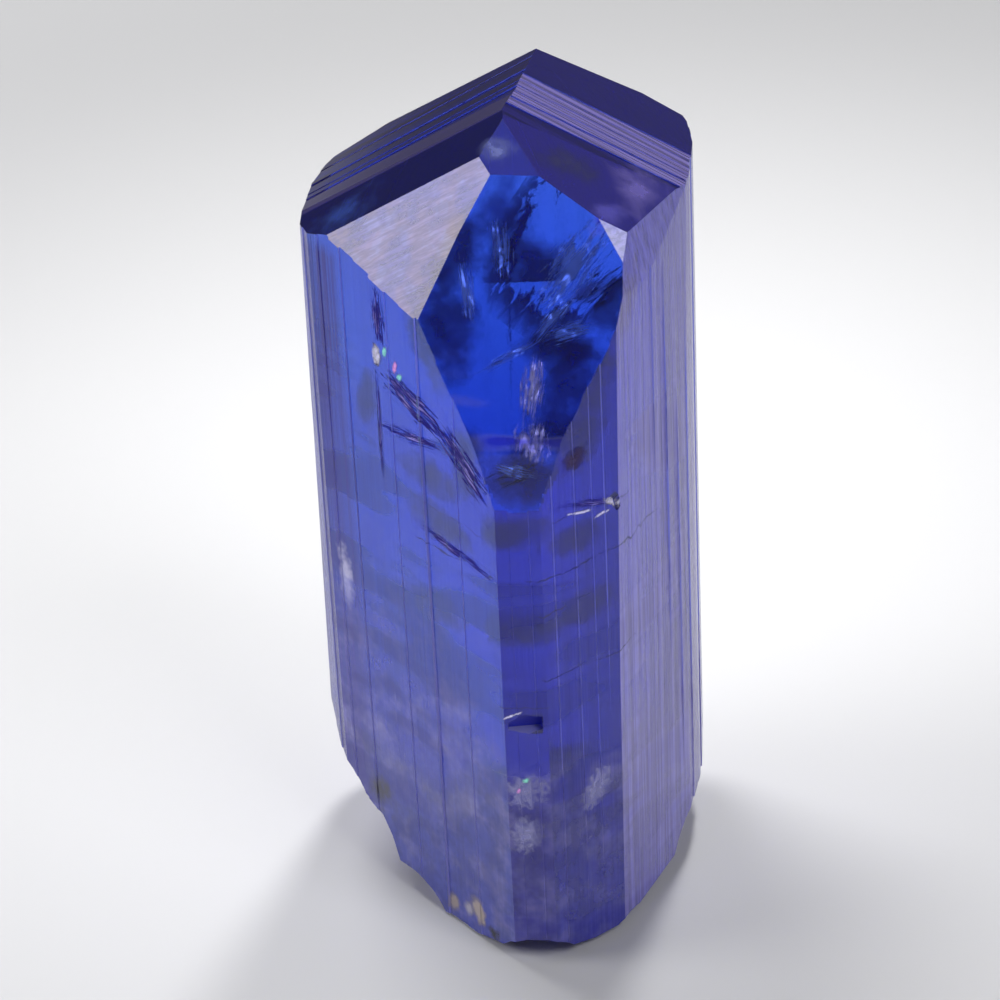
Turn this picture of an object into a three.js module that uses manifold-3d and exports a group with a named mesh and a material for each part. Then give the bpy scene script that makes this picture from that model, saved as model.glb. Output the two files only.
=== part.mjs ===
import * as THREE from "three";
import { mergeVertices } from "three/addons/utils/BufferGeometryUtils.js";
import Module from "manifold-3d";

// A rough tanzanite crystal that stands on its broken foot. Millimetres, +Z up along the
// prism, -Y towards the steep kite-shaped face. The faces are laid out around a heart on
// the prism's axis, and at the end the middle of the crystal's box is set over the origin.

const wasm = await Module();
wasm.setup();

// Overall size
const HEART_HEIGHT = 16.8; // height of the point from which the faces' reaches are measured
const STOCK_HEIGHT = 36; // rough height of the prism before its top and foot are cut
const CUTTER = 60; // side of the blocks that cut the faces
const FLAT_HEIGHT = 0; // height of the flat spot that it stands on

// Faces of the top. The azimuth is the way a face looks: 0 to the front, 90 to the right.
// The pitch is how far it leans: 0 lies flat, 90 stands upright. The reach is its distance
// from the heart.
const TOP_FACES = [
  { azimuth: -96, pitch: 29.2, reach: 14.0 }, // left roof
  { azimuth: 89, pitch: 27.4, reach: 14.95 }, // right roof
  { azimuth: -64, pitch: 34, reach: 13.1 }, // left gable
  { azimuth: 68, pitch: 30.5, reach: 14.38 }, // right gable
  { azimuth: -33, pitch: 52.3, reach: 10.66 }, // left cheek, the large bright one
  { azimuth: 26.5, pitch: 52.7, reach: 12.26 }, // right cheek, the small one
  { azimuth: 2, pitch: 30.3, reach: 14.2 }, // collar above the kite
  { azimuth: 0.5, pitch: 62, reach: 9.42 }, // kite, upper part
  { azimuth: 0.5, pitch: 67, reach: 9.22 }, // kite, middle part
  { azimuth: 0.5, pitch: 71.5, reach: 9.02 }, // kite, foot
  { azimuth: 71, pitch: 85, reach: 7.86 }, // right shoulder, lower part
  { azimuth: 70, pitch: 79, reach: 8.87 }, // right shoulder, upper part
  { azimuth: 180, pitch: 71, reach: 12.02 }, // rear kite
  { azimuth: -132, pitch: 60, reach: 15.75 }, // left rear cheek
  { azimuth: 138, pitch: 58, reach: 15.8 }, // right rear cheek
];

// The grey brow is the front strip of the left roof, a little lower and turned
const BROW = { azimuth: -93, pitch: 29.4, reach: 13.88 };
const BROW_LINE = 2.25; // how far back from the middle the brow reaches

// Faces that almost lie in another one and only skim it, as growth leaves them
const SKIM_FACES = [
  { azimuth: -31.5, pitch: 54, reach: 10.45 }, // lower part of the left cheek
  { azimuth: -86, pitch: 89, reach: 7.64 }, // left side, wider at the foot
  { azimuth: -43.4, pitch: 89.6, reach: 5.42 },
  { azimuth: 47.5, pitch: 90.4, reach: 7.66 },
  { azimuth: 75, pitch: 89.5, reach: 6.98 },
  { azimuth: 69.5, pitch: 90.5, reach: 6.86 },
  { azimuth: -160, pitch: 89.6, reach: 9.7 },
  { azimuth: 171, pitch: 90.3, reach: 8.5 },
];

// Ledges that cross the roofs from the ridge to the eaves. In front of each line, that far
// back from the middle, the roof lies lower by the step.
const RIGHT_ROOF_LEDGES = [
  { line: 1.0, step: 0.04 },
  { line: 1.7, step: 0.05 },
  { line: 2.3, step: 0.02 },
  { line: 2.9, step: 0.02 },
  { line: 3.5, step: 0.02 },
  { line: 4.1, step: 0.04 },
];
const LEFT_ROOF_LEDGES = [
  { line: 2.8, step: 0.04 },
  { line: 3.4, step: 0.02 },
  { line: 4.6, step: 0.04 },
  { line: 6.2, step: 0.02 },
];

// Sides of the prism, anticlockwise seen from above, each from its own corner to the next.
// Every ledge of the growth striations is a place along the side, from 0 to 1, and a step
// outwards there. The steps of a side add up to nothing.
const SIDES = [
  { corner: [-7.95, 1.6], ledges: [[0.35, 0.03], [0.7, -0.03]] }, // left rim
  {
    corner: [-7.05, -0.4], // left front
    ledges: [
      [0.06, -0.03], [0.13, 0.05], [0.19, -0.04], [0.27, 0.03], [0.36, 0.07],
      [0.45, -0.03], [0.53, 0.02], [0.61, -0.08], [0.72, 0.03], [0.8, -0.03],
      [0.9, 0.01],
    ],
  },
  { corner: [0.9, -8.3], ledges: [[0.3, 0.03], [0.75, -0.03]] }, // centre
  {
    corner: [2.6, -8.28], // right front
    ledges: [
      [0.14, 0.04], [0.26, -0.05], [0.4, 0.03], [0.52, -0.04], [0.6, 0.03],
      [0.74, 0.04], [0.86, -0.05],
    ],
  },
  {
    corner: [5.55, -5.25], // right
    ledges: [
      [0.1, 0.03], [0.22, -0.04], [0.31, 0.05], [0.42, -0.06], [0.5, 0.03],
      [0.6, -0.04], [0.71, 0.05], [0.8, -0.05], [0.9, 0.03],
    ],
  },
  { corner: [7.32, 0.3], ledges: [[0.3, 0.04], [0.65, -0.04]] }, // right rim
  { corner: [7.56, 2.3], ledges: [[0.25, -0.04], [0.5, 0.05], [0.8, -0.01]] },
  { corner: [7.48, 5.4], ledges: [[0.4, 0.03], [0.7, -0.03]] },
  { corner: [7.12, 7.2], ledges: [] },
  {
    corner: [6.55, 8.3], // rear
    ledges: [
      [0.08, 0.05], [0.15, -0.03], [0.27, 0.06], [0.36, -0.05], [0.48, -0.04],
      [0.55, 0.06], [0.66, 0.04], [0.74, -0.06], [0.85, 0.04], [0.93, -0.07],
    ],
  },
  { corner: [-6.7, 8.95], ledges: [[0.5, 0.03], [0.8, -0.03]] }, // left rear
  { corner: [-7.6, 6.9], ledges: [[0.3, -0.03], [0.7, 0.03]] },
  {
    corner: [-7.9, 4.2], // left
    ledges: [[0.2, 0.04], [0.45, -0.06], [0.75, 0.02]],
  },
];
const LEDGE_SLANT = 0.6; // how far a ledge runs along the side for each unit that it rises

// The foot broke off in a flight of steps on the left. The profile runs outwards and up
// from the flat spot, seen from the front.
const BREAK_PROFILE = [
  [-2.5, 0], [-4.05, 0.9], [-4.4, 1.9], [-4.95, 2.75], [-6.45, 3.55], [-7.25, 4.4], [-8.6, 7.2],
];
const BREAK_TURN = -9; // degrees that the flight of steps is turned, seen from above

// Other break faces of the foot. Each passes through a point and rises outwards.
const FOOT_FACES = [
  { azimuth: -40, slope: 8, through: [-2.3, -5.4, 0.15] },
  { azimuth: 5, slope: 15, through: [1.7, -8.3, 0.65] },
  { azimuth: 48, slope: 8, through: [4.6, -6.0, 0.3] },
  { azimuth: 82, slope: 22, through: [7.3, 0.3, 0.8] },
  { azimuth: 112, slope: 28, through: [7.4, 3.6, 1.8] },
  { azimuth: 176, slope: 15, through: [0.5, 8.2, 1.15] },
  { azimuth: -142, slope: 34, through: [-5.6, 7.6, 3.6] },
];

// Shell-shaped scoops in the foot: the ball of each radius is pushed in by its depth at a
// point of the surface, from the side that the azimuth and pitch give
const SCOOPS = [
  { at: [-3.6, -3.9, 1.0], azimuth: -60, pitch: 140, radius: 4.6, depth: 0.06 },
  { at: [1.7, -7.7, 0.8], azimuth: 5, pitch: 150, radius: 3.6, depth: 0.06 },
  { at: [5.4, -4.8, 0.35], azimuth: 50, pitch: 152, radius: 3.4, depth: 0.12 },
  { at: [6.8, 1.3, 1.7], azimuth: 95, pitch: 145, radius: 4.2, depth: 0.25 },
  { at: [5.4, 6.4, 2.6], azimuth: 135, pitch: 150, radius: 5.2, depth: 0.6 },
  { at: [-0.6, 7.2, 1.2], azimuth: 175, pitch: 155, radius: 5.4, depth: 0.5 },
  { at: [-5.6, 5.4, 3.2], azimuth: -125, pitch: 145, radius: 4.8, depth: 0.6 },
  { at: [-6.5, 0.6, 3.7], azimuth: -85, pitch: 138, radius: 3.6, depth: 0.35 },
];
const SCOOP_ROUND = 26; // facets around a scoop
const SCOOP_RINGS = 16; // facets from pole to pole

// Small chips and pits: a wedge-shaped block turned and pushed into a face
const CHIPS = [
  { at: [1.75, -8.32, 11.15], size: [1.3, 0.42, 0.75], turn: [24, 8, 14] }, // centre face
  { at: [-4.1, -3.42, 24.5], size: [0.5, 0.36, 0.8], turn: [18, -30, 40] }, // left front
  { at: [5.25, -5.55, 19.4], size: [0.9, 0.3, 0.5], turn: [28, 12, -38] }, // right edge
  { at: [-3.02, -4.86, 26.5], size: [0.4, 0.34, 0.5], turn: [30, 20, 30] }, // kite edge
];

const degrees = THREE.MathUtils.degToRad;

function solidFrom(geometry) {
  const bare = geometry.clone();
  bare.deleteAttribute("normal");
  bare.deleteAttribute("uv");
  const merged = mergeVertices(bare, 1e-4);
  const mesh = new wasm.Mesh({
    numProp: 3,
    vertProperties: new Float32Array(merged.attributes.position.array),
    triVerts: new Uint32Array(merged.index.array),
  });
  return new wasm.Manifold(mesh);
}

function geometryFrom(solid) {
  const mesh = solid.getMesh();
  const geometry = new THREE.BufferGeometry();
  const position = new THREE.BufferAttribute(new Float32Array(mesh.vertProperties), 3);
  geometry.setAttribute("position", position);
  geometry.setIndex(new THREE.BufferAttribute(new Uint32Array(mesh.triVerts), 1));
  geometry.computeVertexNormals();
  return geometry;
}

function normalOf({ azimuth, pitch }) {
  const turn = degrees(azimuth);
  const lean = degrees(pitch);
  return new THREE.Vector3(
    Math.sin(turn) * Math.sin(lean),
    -Math.cos(turn) * Math.sin(lean),
    Math.cos(lean),
  );
}

// A block whose underside lies on a plane, so that taking it away leaves that plane
function blockAbove(normal, pointOnPlane) {
  const block = new THREE.BoxGeometry(CUTTER, CUTTER, CUTTER);
  block.translate(0, 0, CUTTER / 2);
  const up = new THREE.Vector3(0, 0, 1);
  block.applyQuaternion(new THREE.Quaternion().setFromUnitVectors(up, normal));
  block.translate(pointOnPlane.x, pointOnPlane.y, pointOnPlane.z);
  return solidFrom(block);
}

function faceBlock(face) {
  const normal = normalOf(face);
  const heart = new THREE.Vector3(0, 0, HEART_HEIGHT);
  return blockAbove(normal, heart.addScaledVector(normal, face.reach));
}

function cutFace(solid, face) {
  return solid.subtract(faceBlock(face));
}

// Lowers a roof by a step in front of a line across it
function cutLedge(solid, roof, line, drop) {
  const lowered = { ...roof, reach: roof.reach - drop };
  const onLine = new THREE.Vector3(0, line, HEART_HEIGHT);
  const inFront = blockAbove(new THREE.Vector3(0, -1, 0), onLine);
  return solid.subtract(faceBlock(lowered).intersect(inFront));
}

// A roof keeps its reach behind the last line and lies lower line by line to the front
function terrace(solid, roof, ledges) {
  let drop = 0;
  let stepped = solid;
  for (const ledge of [...ledges].reverse()) {
    drop += ledge.step;
    stepped = cutLedge(stepped, roof, ledge.line, drop);
  }
  return stepped;
}

function prismOutline() {
  const outline = [];
  SIDES.forEach(({ corner, ledges }, index) => {
    const start = new THREE.Vector2(...corner);
    const end = new THREE.Vector2(...SIDES[(index + 1) % SIDES.length].corner);
    const along = end.clone().sub(start);
    const length = along.length();
    along.normalize();
    const outwards = new THREE.Vector2(along.y, -along.x);
    let offset = 0;
    outline.push(start);
    for (const [place, step] of ledges) {
      const foot = start.clone().addScaledVector(along, place * length);
      outline.push(foot.clone().addScaledVector(outwards, offset));
      offset += step;
      foot.addScaledVector(along, LEDGE_SLANT * Math.abs(step));
      outline.push(foot.addScaledVector(outwards, offset));
    }
  });
  return outline;
}

function prism() {
  const geometry = new THREE.ExtrudeGeometry(new THREE.Shape(prismOutline()), {
    depth: STOCK_HEIGHT,
    bevelEnabled: false,
  });
  geometry.translate(0, 0, FLAT_HEIGHT - 1);
  return solidFrom(geometry);
}

// The flight of steps is everything below its profile, from front to back
function brokenSteps() {
  const points = BREAK_PROFILE.map(([x, z]) => new THREE.Vector2(x, z));
  const [firstX] = BREAK_PROFILE[0];
  const [lastX] = BREAK_PROFILE[BREAK_PROFILE.length - 1];
  points.push(new THREE.Vector2(lastX - CUTTER / 2, CUTTER / 4));
  points.push(new THREE.Vector2(lastX - CUTTER / 2, -CUTTER / 2));
  points.push(new THREE.Vector2(firstX, -CUTTER / 2));
  const steps = new THREE.ExtrudeGeometry(new THREE.Shape(points), {
    depth: CUTTER,
    bevelEnabled: false,
  });
  steps.translate(0, 0, -CUTTER / 2);
  steps.rotateX(Math.PI / 2);
  steps.rotateZ(degrees(BREAK_TURN));
  return solidFrom(steps);
}

function cutFootFace(solid, { azimuth, slope, through }) {
  const normal = normalOf({ azimuth, pitch: 180 - slope });
  return solid.subtract(blockAbove(normal, new THREE.Vector3(...through)));
}

function scoop({ at, radius, depth, ...side }) {
  const ball = new THREE.SphereGeometry(radius, SCOOP_ROUND, SCOOP_RINGS);
  const centre = new THREE.Vector3(...at).addScaledVector(normalOf(side), radius - depth);
  ball.translate(centre.x, centre.y, centre.z);
  return solidFrom(ball);
}

function chip({ at, size, turn }) {
  const block = new THREE.BoxGeometry(...size);
  const angles = new THREE.Euler(...turn.map(degrees));
  block.applyQuaternion(new THREE.Quaternion().setFromEuler(angles));
  block.translate(...at);
  return solidFrom(block);
}

function crystalSolid() {
  const [leftRoof, rightRoof] = TOP_FACES;
  let solid = prism();
  for (const face of [...TOP_FACES, ...SKIM_FACES]) solid = cutFace(solid, face);
  solid = terrace(solid, rightRoof, RIGHT_ROOF_LEDGES);
  solid = terrace(solid, leftRoof, LEFT_ROOF_LEDGES);
  solid = cutLedge(solid, BROW, BROW_LINE, 0);
  solid = solid.subtract(brokenSteps());
  for (const face of FOOT_FACES) solid = cutFootFace(solid, face);
  for (const ball of SCOOPS) solid = solid.subtract(scoop(ball));
  for (const nick of CHIPS) solid = solid.subtract(chip(nick));
  const ground = new THREE.Vector3(0, 0, FLAT_HEIGHT);
  return solid.subtract(blockAbove(new THREE.Vector3(0, 0, -1), ground));
}

// Sets the middle of the crystal's box over the origin
function centred(geometry) {
  geometry.computeBoundingBox();
  const middle = geometry.boundingBox.getCenter(new THREE.Vector3());
  return geometry.translate(-middle.x, -middle.y, 0);
}

const tanzanite = new THREE.MeshStandardMaterial({
  color: 0x3b3fae,
  roughness: 0.12,
  metalness: 0,
});

const crystal = new THREE.Mesh(centred(geometryFrom(crystalSolid())), tanzanite);
crystal.name = "crystal";

const specimen = new THREE.Group();
specimen.add(crystal);

export default specimen;
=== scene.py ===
import math

import bpy
from mathutils import Matrix, Vector


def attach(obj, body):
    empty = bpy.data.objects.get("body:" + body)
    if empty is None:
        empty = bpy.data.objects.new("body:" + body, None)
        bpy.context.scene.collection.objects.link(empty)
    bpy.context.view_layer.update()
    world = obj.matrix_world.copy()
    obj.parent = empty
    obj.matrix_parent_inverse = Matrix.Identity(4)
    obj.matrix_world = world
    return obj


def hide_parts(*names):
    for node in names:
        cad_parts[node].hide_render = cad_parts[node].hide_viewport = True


# A rough blue-violet crystal that stands on a pale table. The scene is in metres and in the
# solid's own frame: x to the right, y to the back, z up from the foot. The values below are in
# mm and degrees where they don't say otherwise.

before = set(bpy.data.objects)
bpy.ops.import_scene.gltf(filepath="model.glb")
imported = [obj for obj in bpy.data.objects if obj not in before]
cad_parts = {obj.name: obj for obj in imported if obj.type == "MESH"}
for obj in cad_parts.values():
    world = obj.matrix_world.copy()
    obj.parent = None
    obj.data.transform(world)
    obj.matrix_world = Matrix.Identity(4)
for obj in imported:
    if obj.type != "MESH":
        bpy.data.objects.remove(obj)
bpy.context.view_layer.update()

MM = 0.001
IN_MM = (1000, 1000, 1000)  # brings object coordinates to mm


# ---- Helpers ----

def deselect_all():
    bpy.ops.object.select_all(action="DESELECT")


def only(obj):
    deselect_all()
    obj.select_set(True)
    bpy.context.view_layer.objects.active = obj


def edit(obj, operator, **settings):
    """Runs one operator on the whole mesh of an object."""
    only(obj)
    bpy.ops.object.mode_set(mode="EDIT")
    bpy.ops.mesh.select_all(action="SELECT")
    operator(**settings)
    bpy.ops.object.mode_set(mode="OBJECT")


def finish_with(obj, kind, name, **settings):
    """Adds a modifier to the object that is being worked on, and applies it."""
    modifier = obj.modifiers.new(name, kind)
    for setting, value in settings.items():
        setattr(modifier, setting, value)
    bpy.ops.object.modifier_apply(modifier=name)


class Bench:
    """Lays out the nodes of one new material and joins them up."""

    def __init__(self, name):
        self.material = bpy.data.materials.new(name)
        self.material.use_nodes = True
        self.nodes = self.material.node_tree.nodes
        self.links = self.material.node_tree.links
        self.nodes.clear()
        self.out = self.add("OutputMaterial")
        self.shader = self.add("BsdfPrincipled")
        self.links.new(self.shader.outputs["BSDF"], self.out.inputs["Surface"])

    def add(self, kind, **settings):
        node = self.nodes.new("ShaderNode" + kind)
        for name, value in settings.items():
            setattr(node, name, value)
        return node

    def feed(self, socket, value):
        if isinstance(value, bpy.types.NodeSocket):
            self.links.new(value, socket)
        else:
            socket.default_value = value

    def surface(self, **values):
        """Gives the shader its values. An underscore in a name stands for a space."""
        for name, value in values.items():
            self.feed(self.shader.inputs[name.replace("_", " ")], value)

    def calc(self, operation, first, second=0.0, third=0.0, clamp=False):
        node = self.add("Math", operation=operation, use_clamp=clamp)
        for socket, value in zip(node.inputs, (first, second, third)):
            self.feed(socket, value)
        return node.outputs[0]

    def ramp(self, value, low, high, start=0.0, end=1.0, soft=True):
        kind = "SMOOTHSTEP" if soft else "LINEAR"
        node = self.add("MapRange", interpolation_type=kind)
        names = ("Value", "From Min", "From Max", "To Min", "To Max")
        for name, given in zip(names, (value, low, high, start, end)):
            self.feed(node.inputs[name], given)
        return node.outputs["Result"]

    def blend(self, share, first, second):
        node = self.add("Mix", data_type="RGBA")
        self.feed(node.inputs["Factor"], share)
        self.feed(node.inputs["A"], first)
        self.feed(node.inputs["B"], second)
        return node.outputs["Result"]

    def lay(self, share, colour, film):
        """Lays a colour over a film."""
        return self.blend(share, film, (*colour, 1))

    def split(self, vector):
        node = self.add("SeparateXYZ")
        self.links.new(vector, node.inputs[0])
        return node.outputs

    def coordinates(self, name, scale):
        return self.turned(self.add("TexCoord").outputs[name], scale=scale)

    def turned(self, place, turn=(0, 0, 0), scale=(1, 1, 1)):
        node = self.add("Mapping")
        self.links.new(place, node.inputs["Vector"])
        node.inputs["Rotation"].default_value = [math.radians(angle) for angle in turn]
        node.inputs["Scale"].default_value = scale
        return node.outputs["Vector"]

    def noise(self, place, scale, detail, rough, warp=0.0):
        node = self.add("TexNoise")
        self.links.new(place, node.inputs["Vector"])
        node.inputs["Scale"].default_value = scale
        node.inputs["Detail"].default_value = detail
        node.inputs["Roughness"].default_value = rough
        node.inputs["Distortion"].default_value = warp
        return node.outputs["Fac"]

    def noise_along(self, value, scale, detail, rough):
        """Noise along one direction only, in straight stripes."""
        node = self.add("TexNoise", noise_dimensions="1D")
        self.links.new(value, node.inputs["W"])
        node.inputs["Scale"].default_value = scale
        node.inputs["Detail"].default_value = detail
        node.inputs["Roughness"].default_value = rough
        return node.outputs["Fac"]


# ---- The crystal's faces ----

def face_way(azimuth, pitch):
    """The way that a face looks: azimuth 0 to the front and 90 to the right, pitch 0 up."""
    turn, lean = math.radians(azimuth), math.radians(pitch)
    level = math.sin(lean)
    return Vector((math.sin(turn) * level, -math.cos(turn) * level, math.cos(lean)))


LEFT_CHEEK = (-33, 52.3)
LEFT_ROOF = (-96, 29.2)

LILAC = (0.23, 0.185, 0.38)
VIOLET = (0.12, 0.12, 0.74)
DEEP = (0.02, 0.02, 0.42)

# Each kind of face: the way it looks, how far other ways may be from that, its finish and the
# colour of its film. A finish is how frosted the face is, how satin its gloss and how strong
# its growth lines.
FACES = (
    ("left cheek", LEFT_CHEEK, 4, (0.5, 0.8, 0.0), LILAC),
    ("right cheek", (26.5, 52.7), 4, (0.5, 0.8, 0.0), (0.52, 0.50, 1.0)),
    ("right roof", (89, 27.4), 3, (0.22, 0.3, 0.0), (0.06, 0.05, 0.45)),
    ("left roof", LEFT_ROOF, 4, (0.22, 0.1, 0.0), DEEP),
    ("left gable", (-64, 34), 4, (0.22, 0.1, 0.0), DEEP),
    ("right gable", (68, 30.5), 4, (0.3, 0.1, 0.0), (0.09, 0.08, 0.60)),
    ("brow", (2, 30.3), 4, (0.3, 0.1, 0.0), (0.10, 0.12, 0.80)),
    ("left front", (-45, 90), 6, (0.22, 0.2, 0.3), (0.055, 0.235, 1.0)),
    ("front", (0, 90), 6, (0.16, 0.12, 0.3), (0.03, 0.04, 0.42)),
    ("right front", (45.8, 90), 6, (0.16, 0.2, 0.5), (0.04, 0.06, 0.60)),
    ("right", (72, 90), 12, (0.42, 0.6, 1.0), (0.41, 0.37, 0.98)),
    ("right rim", (90, 90), 6, (0.5, 0.6, 1.0), (0.42, 0.39, 0.80)),
    ("left rim", (-75, 90), 20, (0.3, 0.5, 1.0), (0.34, 0.32, 0.80)),
    ("rear", (180, 90), 25, (0.1, 0.4, 1.0), VIOLET),
)

# The finish and film of places that the table doesn't name
PLAIN = ((0.0, 0.06, 0.2), VIOLET)
PALE_STEPS = ((0.5, 0.5, 0.0), (0.33, 0.28, 0.74))
LEDGE = ((0.9, 0.4, 0.0), (0.26, 0.29, 1.0))
STEEP = ((0.8, 0.4, 0.0), (0.26, 0.27, 0.80))
# The front notch: painted light on its faces that look up, painted shade on those that look down
NOTCH_PAINTED_LIGHT = ((0.6, 0.6, 0.0), (0.45, 0.45, 0.85))
NOTCH_PAINTED_SHADE = ((0.6, 0.6, 0.0), DEEP)
BREAK = ((0.7, 1.0, 0.0), VIOLET)
WORN_EDGE = ((0.5, 0.4, 0.0), (0.55, 0.52, 0.95))

# Kinds of face that have marks of their own. The material tells them apart by these numbers.
KINDS = {
    "left cheek": 1.0,
    "right cheek": 0.8,
    "left roof": 0.6,
    "left gable": 0.6,
    "right roof": 0.4,
    "ledge": 0.2,
}

UPRIGHT = 0.3  # how far an upright face may look up or down, as the z of its normal
SEAM = 1e-7  # metres within which points of the solid are one
SAME_POINT = 0.003  # within which points are one once faces are joined or edges worn
SAME_FACE = 0.3  # degrees between the faces of one flat
SHORT_EDGE = 0.5  # shorter edges aren't worn
SHARP_EDGE = 12.0  # degrees between the faces of an edge that is worn
WIDE_FACE = 0.3  # how far both of its faces reach from an edge that is worn
LEDGE_WIDTH = 0.1  # narrower upright faces are ledges
WEAR = 0.06  # how far an edge is broken to either side


def edge_ends(mesh, places):
    return [mesh.vertices[place].co for place in places]


def reach_from(face, edge, mesh):
    """How far a face reaches from one of its edges."""
    start, end = edge_ends(mesh, edge.vertices)
    along = (end - start).normalized()
    gaps = [mesh.vertices[place].co - start for place in face.vertices]
    return max((gap - along * gap.dot(along)).length for gap in gaps)


def is_ledge(face, mesh):
    """Whether a face is one of the fine upright growth ledges."""
    edges = [edge_ends(mesh, key) for key in face.edge_keys]
    longest = max((end - start).length for start, end in edges)
    return abs(face.normal.z) < UPRIGHT and face.area / longest < LEDGE_WIDTH * MM


def wear_edges(crystal):
    """Breaks the sharp edges between wide faces a little and returns the narrow faces that
    this makes. The fine ledges keep their edges."""
    edit(crystal, bpy.ops.mesh.dissolve_limited, angle_limit=math.radians(SAME_FACE))
    edit(crystal, bpy.ops.mesh.remove_doubles, threshold=SAME_POINT * MM)
    mesh = crystal.data
    sides = {}
    for face in mesh.polygons:
        for key in face.edge_keys:
            sides.setdefault(key, []).append(face)
    worn_edges = mesh.attributes.new("bevel_weight_edge", "FLOAT", "EDGE")
    for edge in mesh.edges:
        faces = sides.get(edge.key, [])
        start, end = edge_ends(mesh, edge.vertices)
        if len(faces) != 2 or (end - start).length < SHORT_EDGE * MM:
            continue
        sharp = faces[0].normal.angle(faces[1].normal) > math.radians(SHARP_EDGE)
        wide = min(reach_from(face, edge, mesh) for face in faces) > WIDE_FACE * MM
        worn_edges.data[edge.index].value = 1.0 if sharp and wide else 0.0
    # the narrow faces are told by their material slot
    mesh.materials.append(bpy.data.materials.new("spare"))
    mesh.materials.append(bpy.data.materials.new("worn"))
    finish_with(
        crystal, "BEVEL", "wear",
        width=WEAR * MM, segments=1, limit_method="WEIGHT", material=1,
    )
    edit(crystal, bpy.ops.mesh.remove_doubles, threshold=SAME_POINT * MM)
    narrow = {face.index for face in crystal.data.polygons if face.material_index == 1}
    for face in crystal.data.polygons:
        face.material_index = 0
    crystal.data.materials.clear()
    return narrow


def mark_faces(crystal, worn):
    """Writes each face's finish and film. The last number of the finish says how broken the
    face is, and the last number of the film which kind it is."""
    finish = crystal.data.attributes.new("finish", "FLOAT_COLOR", "CORNER")
    film = crystal.data.attributes.new("film", "FLOAT_COLOR", "CORNER")
    for face in crystal.data.polygons:
        kind, look, broken = "", PLAIN, 0.0
        for name, way, spread, face_finish, face_film in FACES:
            if face.normal.angle(face_way(*way)) < math.radians(spread):
                kind, look = name, (face_finish, face_film)
        x, y, z = face.center / MM
        rise = face.normal.z
        if kind == "right roof" and 0.8 < y < 4.0:
            look = PALE_STEPS
        if is_ledge(face, crystal.data) and x < 1.2 and y < 0:
            kind, look = "ledge", LEDGE
        elif not kind and abs(rise) < UPRIGHT:
            look = STEEP
        # in the front notch, painted light on the faces that look up and painted shade on those that
        # look down
        if not kind and 0.8 < x < 2.6 and y < -7.3 and 10.3 < z < 12.0:
            look = NOTCH_PAINTED_LIGHT if rise > 0 else NOTCH_PAINTED_SHADE
        if rise < -0.06 and z < 9:
            look, broken = BREAK, 1.0
        elif face.index in worn:
            look = WORN_EDGE
        for corner in face.loop_indices:
            finish.data[corner].color = (*look[0], broken)
            film.data[corner].color = (*look[1], KINDS.get(kind, 0.0))


# ---- The crystal's material ----

# Cracks that meet the faces, most of them nearly level: height, rise per mm to the right,
# first and last place to the right, and how strong
CRACKS = (
    (17.45, 0.0, -2.9, 0.95, 0.9),
    (17.5, 0.0, 2.2, 6.6, 1.0),
    (15.85, 0.05, 2.6, 5.0, 0.8),
    (13.05, 0.0, 2.7, 5.8, 0.9),
    (20.1, -0.1, 2.8, 5.8, 0.7),
    (21.45, -0.6, -4.0, 0.9, 1.0),
    (18.9, -0.1, -2.6, 0.5, 0.5),
    (11.8, 0.02, 0.9, 2.8, 0.6),
)
CRACK_WIDTH = (0.015, 0.05)  # from its middle to where it starts to fade and where it ends
CRACK_TIP = 0.2  # how far to either side of its first and last place a crack runs out

# Patches in the skin: place, size, how much longer to the right, back and up, colour and how
# solid. First the stains and dark hollows of the foot, then the clouds of the roofs and brow,
# then a pale one on the left.
PATCHES = (
    ((-1.75, -5.85, 0.85), 0.42, (1.0, 1.0, 1.0), (0.40, 0.33, 0.31), 0.95),
    ((-1.15, -6.45, 1.0), 0.36, (1.0, 1.0, 1.0), (0.50, 0.47, 0.55), 0.9),
    ((-0.55, -7.0, 1.25), 0.50, (1.0, 1.0, 1.4), (0.48, 0.40, 0.37), 0.95),
    ((0.0, -7.55, 0.7), 0.40, (1.0, 1.0, 1.0), (0.04, 0.04, 0.06), 0.95),
    ((-5.28, -2.35, 3.98), 0.85, (1.0, 1.0, 1.3), (0.06, 0.06, 0.10), 0.95),
    ((6.0, -0.8, 30.15), 1.2, (1.0, 1.6, 1.0), (0.36, 0.30, 1.0), 0.38),
    ((5.2, -3.2, 30.1), 0.8, (1.0, 1.3, 1.0), (0.22, 0.20, 1.0), 0.38),
    ((3.6, -1.3, 31.4), 1.2, (1.4, 1.0, 1.0), (0.10, 0.10, 0.30), 0.4),
    ((-1.0, -3.3, 32.3), 0.9, (1.5, 1.0, 1.0), (0.06, 0.16, 0.95), 0.35),
    ((-5.3, -0.7, 29.2), 1.2, (1.5, 1.0, 1.0), (0.05, 0.12, 0.60), 0.3),
    ((0.95, -2.1, 32.2), 0.7, (1.0, 1.0, 1.0), (0.36, 0.42, 0.98), 0.45),
    ((-6.17, -1.31, 13.6), 0.60, (0.8, 0.8, 2.2), (0.60, 0.58, 0.85), 0.7),
)
SMALL_PATCH = 0.6  # smaller patches have a crisper rim

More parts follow.
